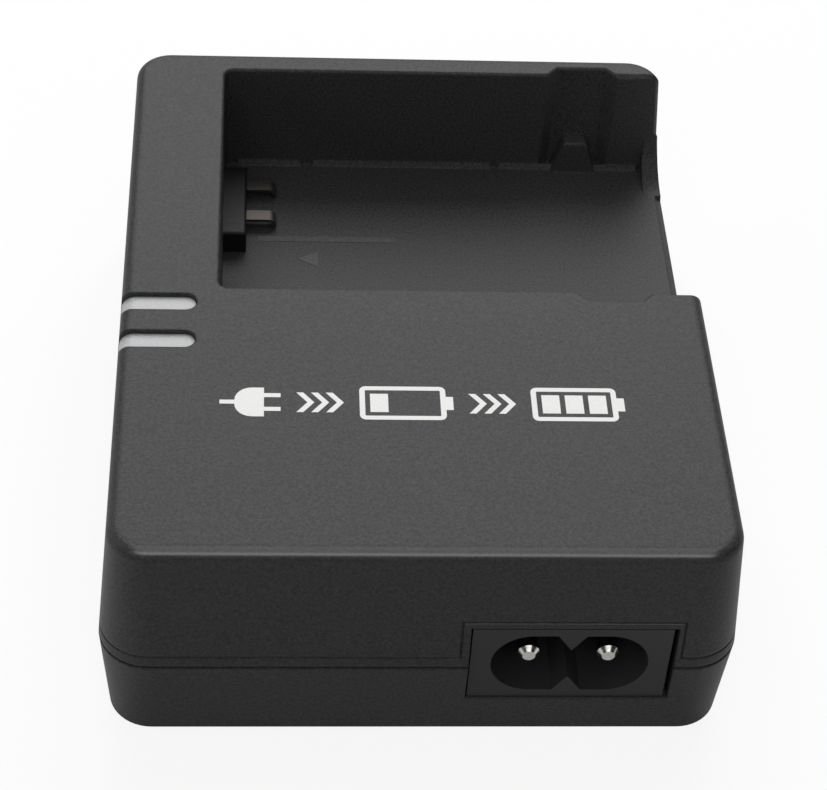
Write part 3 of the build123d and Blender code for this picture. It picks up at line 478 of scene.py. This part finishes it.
def studio_floor():
    """Wide white table that keeps the shadow, and throws less light up than it shows."""
    bpy.ops.object.select_all(action="DESELECT")
    bpy.ops.mesh.primitive_plane_add(size=FLOOR_SIZE * MM)
    floor = bpy.context.object
    floor.name = "studio_floor"
    paper = new_finish("paper_matt_white")
    path = add_node(paper, "ShaderNodeLightPath", {})
    mirrored = add_node(paper, "ShaderNodeMath", {
        0: path["Is Glossy Ray"], 1: path["Is Transmission Ray"]}, operation="MAXIMUM")[0]
    seen = add_node(paper, "ShaderNodeMath", {
        0: path["Is Camera Ray"], 1: mirrored}, operation="MAXIMUM")[0]
    glow = add_node(paper, "ShaderNodeMapRange", {
        "Value": path["Is Camera Ray"], "To Min": FLOOR_GLOW_MIRRORED, "To Max": FLOOR_GLOW})["Result"]
    dim = add_node(paper, "ShaderNodeBsdfDiffuse", {"Color": linear("#8c8c8c")})[0]
    shaded = add_node(paper, "ShaderNodeBsdfDiffuse", {"Color": linear("#fafafa")})[0]
    white = add_node(paper, "ShaderNodeEmission", {"Color": linear("#ffffff"), "Strength": 1.0})[0]
    bright = add_node(paper, "ShaderNodeMixShader", {0: glow, 1: shaded, 2: white})[0]
    shown = add_node(paper, "ShaderNodeMixShader", {0: seen, 1: dim, 2: bright})[0]
    add_node(paper, "ShaderNodeOutputMaterial", {"Surface": shown})
    coat(floor, paper)


def studio_world():
    """Dim room round the table, as a weak fill."""
    world = bpy.data.worlds.new("studio_world")
    bpy.context.scene.world = world
    world.use_nodes = True
    world.node_tree.nodes.clear()
    fill = add_node(world, "ShaderNodeBackground", {"Color": linear("#ffffff"), "Strength": WORLD_FILL})[0]
    add_node(world, "ShaderNodeOutputWorld", {"Surface": fill})


def softbox(name, place, size, watts):
    """Rectangular lamp that faces the charger."""
    at = Vector(place) * MM
    aim = Vector(LAMP_AIM) * MM - at
    bpy.ops.object.light_add(type="AREA", location=at, rotation=aim.to_track_quat("-Z", "Y").to_euler())
    lamp = bpy.context.object
    lamp.name = name
    lamp.data.shape = "RECTANGLE"
    lamp.data.size = size[0] * MM
    lamp.data.size_y = size[1] * MM
    lamp.data.energy = watts


def photo_camera():
    """Camera at the fitted place, turn and focal length."""
    bpy.ops.object.camera_add()
    camera = bpy.context.object
    camera.name = "photo_camera"
    turn = Matrix.Rotation(math.radians(-CAMERA_YAW), 4, "Z")
    turn @= Matrix.Rotation(math.radians(90 - CAMERA_PITCH), 4, "X")
    turn @= Matrix.Rotation(math.radians(CAMERA_ROLL), 4, "Z")
    camera.matrix_world = Matrix.Translation(Vector(CAMERA_AT) * MM) @ turn
    camera.data.sensor_fit = "HORIZONTAL"
    camera.data.sensor_width = SENSOR_W
    camera.data.lens = FOCAL_PX / FRAME_PX * SENSOR_W
    camera.data.clip_start = MM
    bpy.context.scene.camera = camera


studio_floor()
studio_world()
for lamp_name, setting in LAMPS.items():
    softbox(lamp_name, *setting)
photo_camera()
bpy.context.scene.view_settings.view_transform = "Standard"
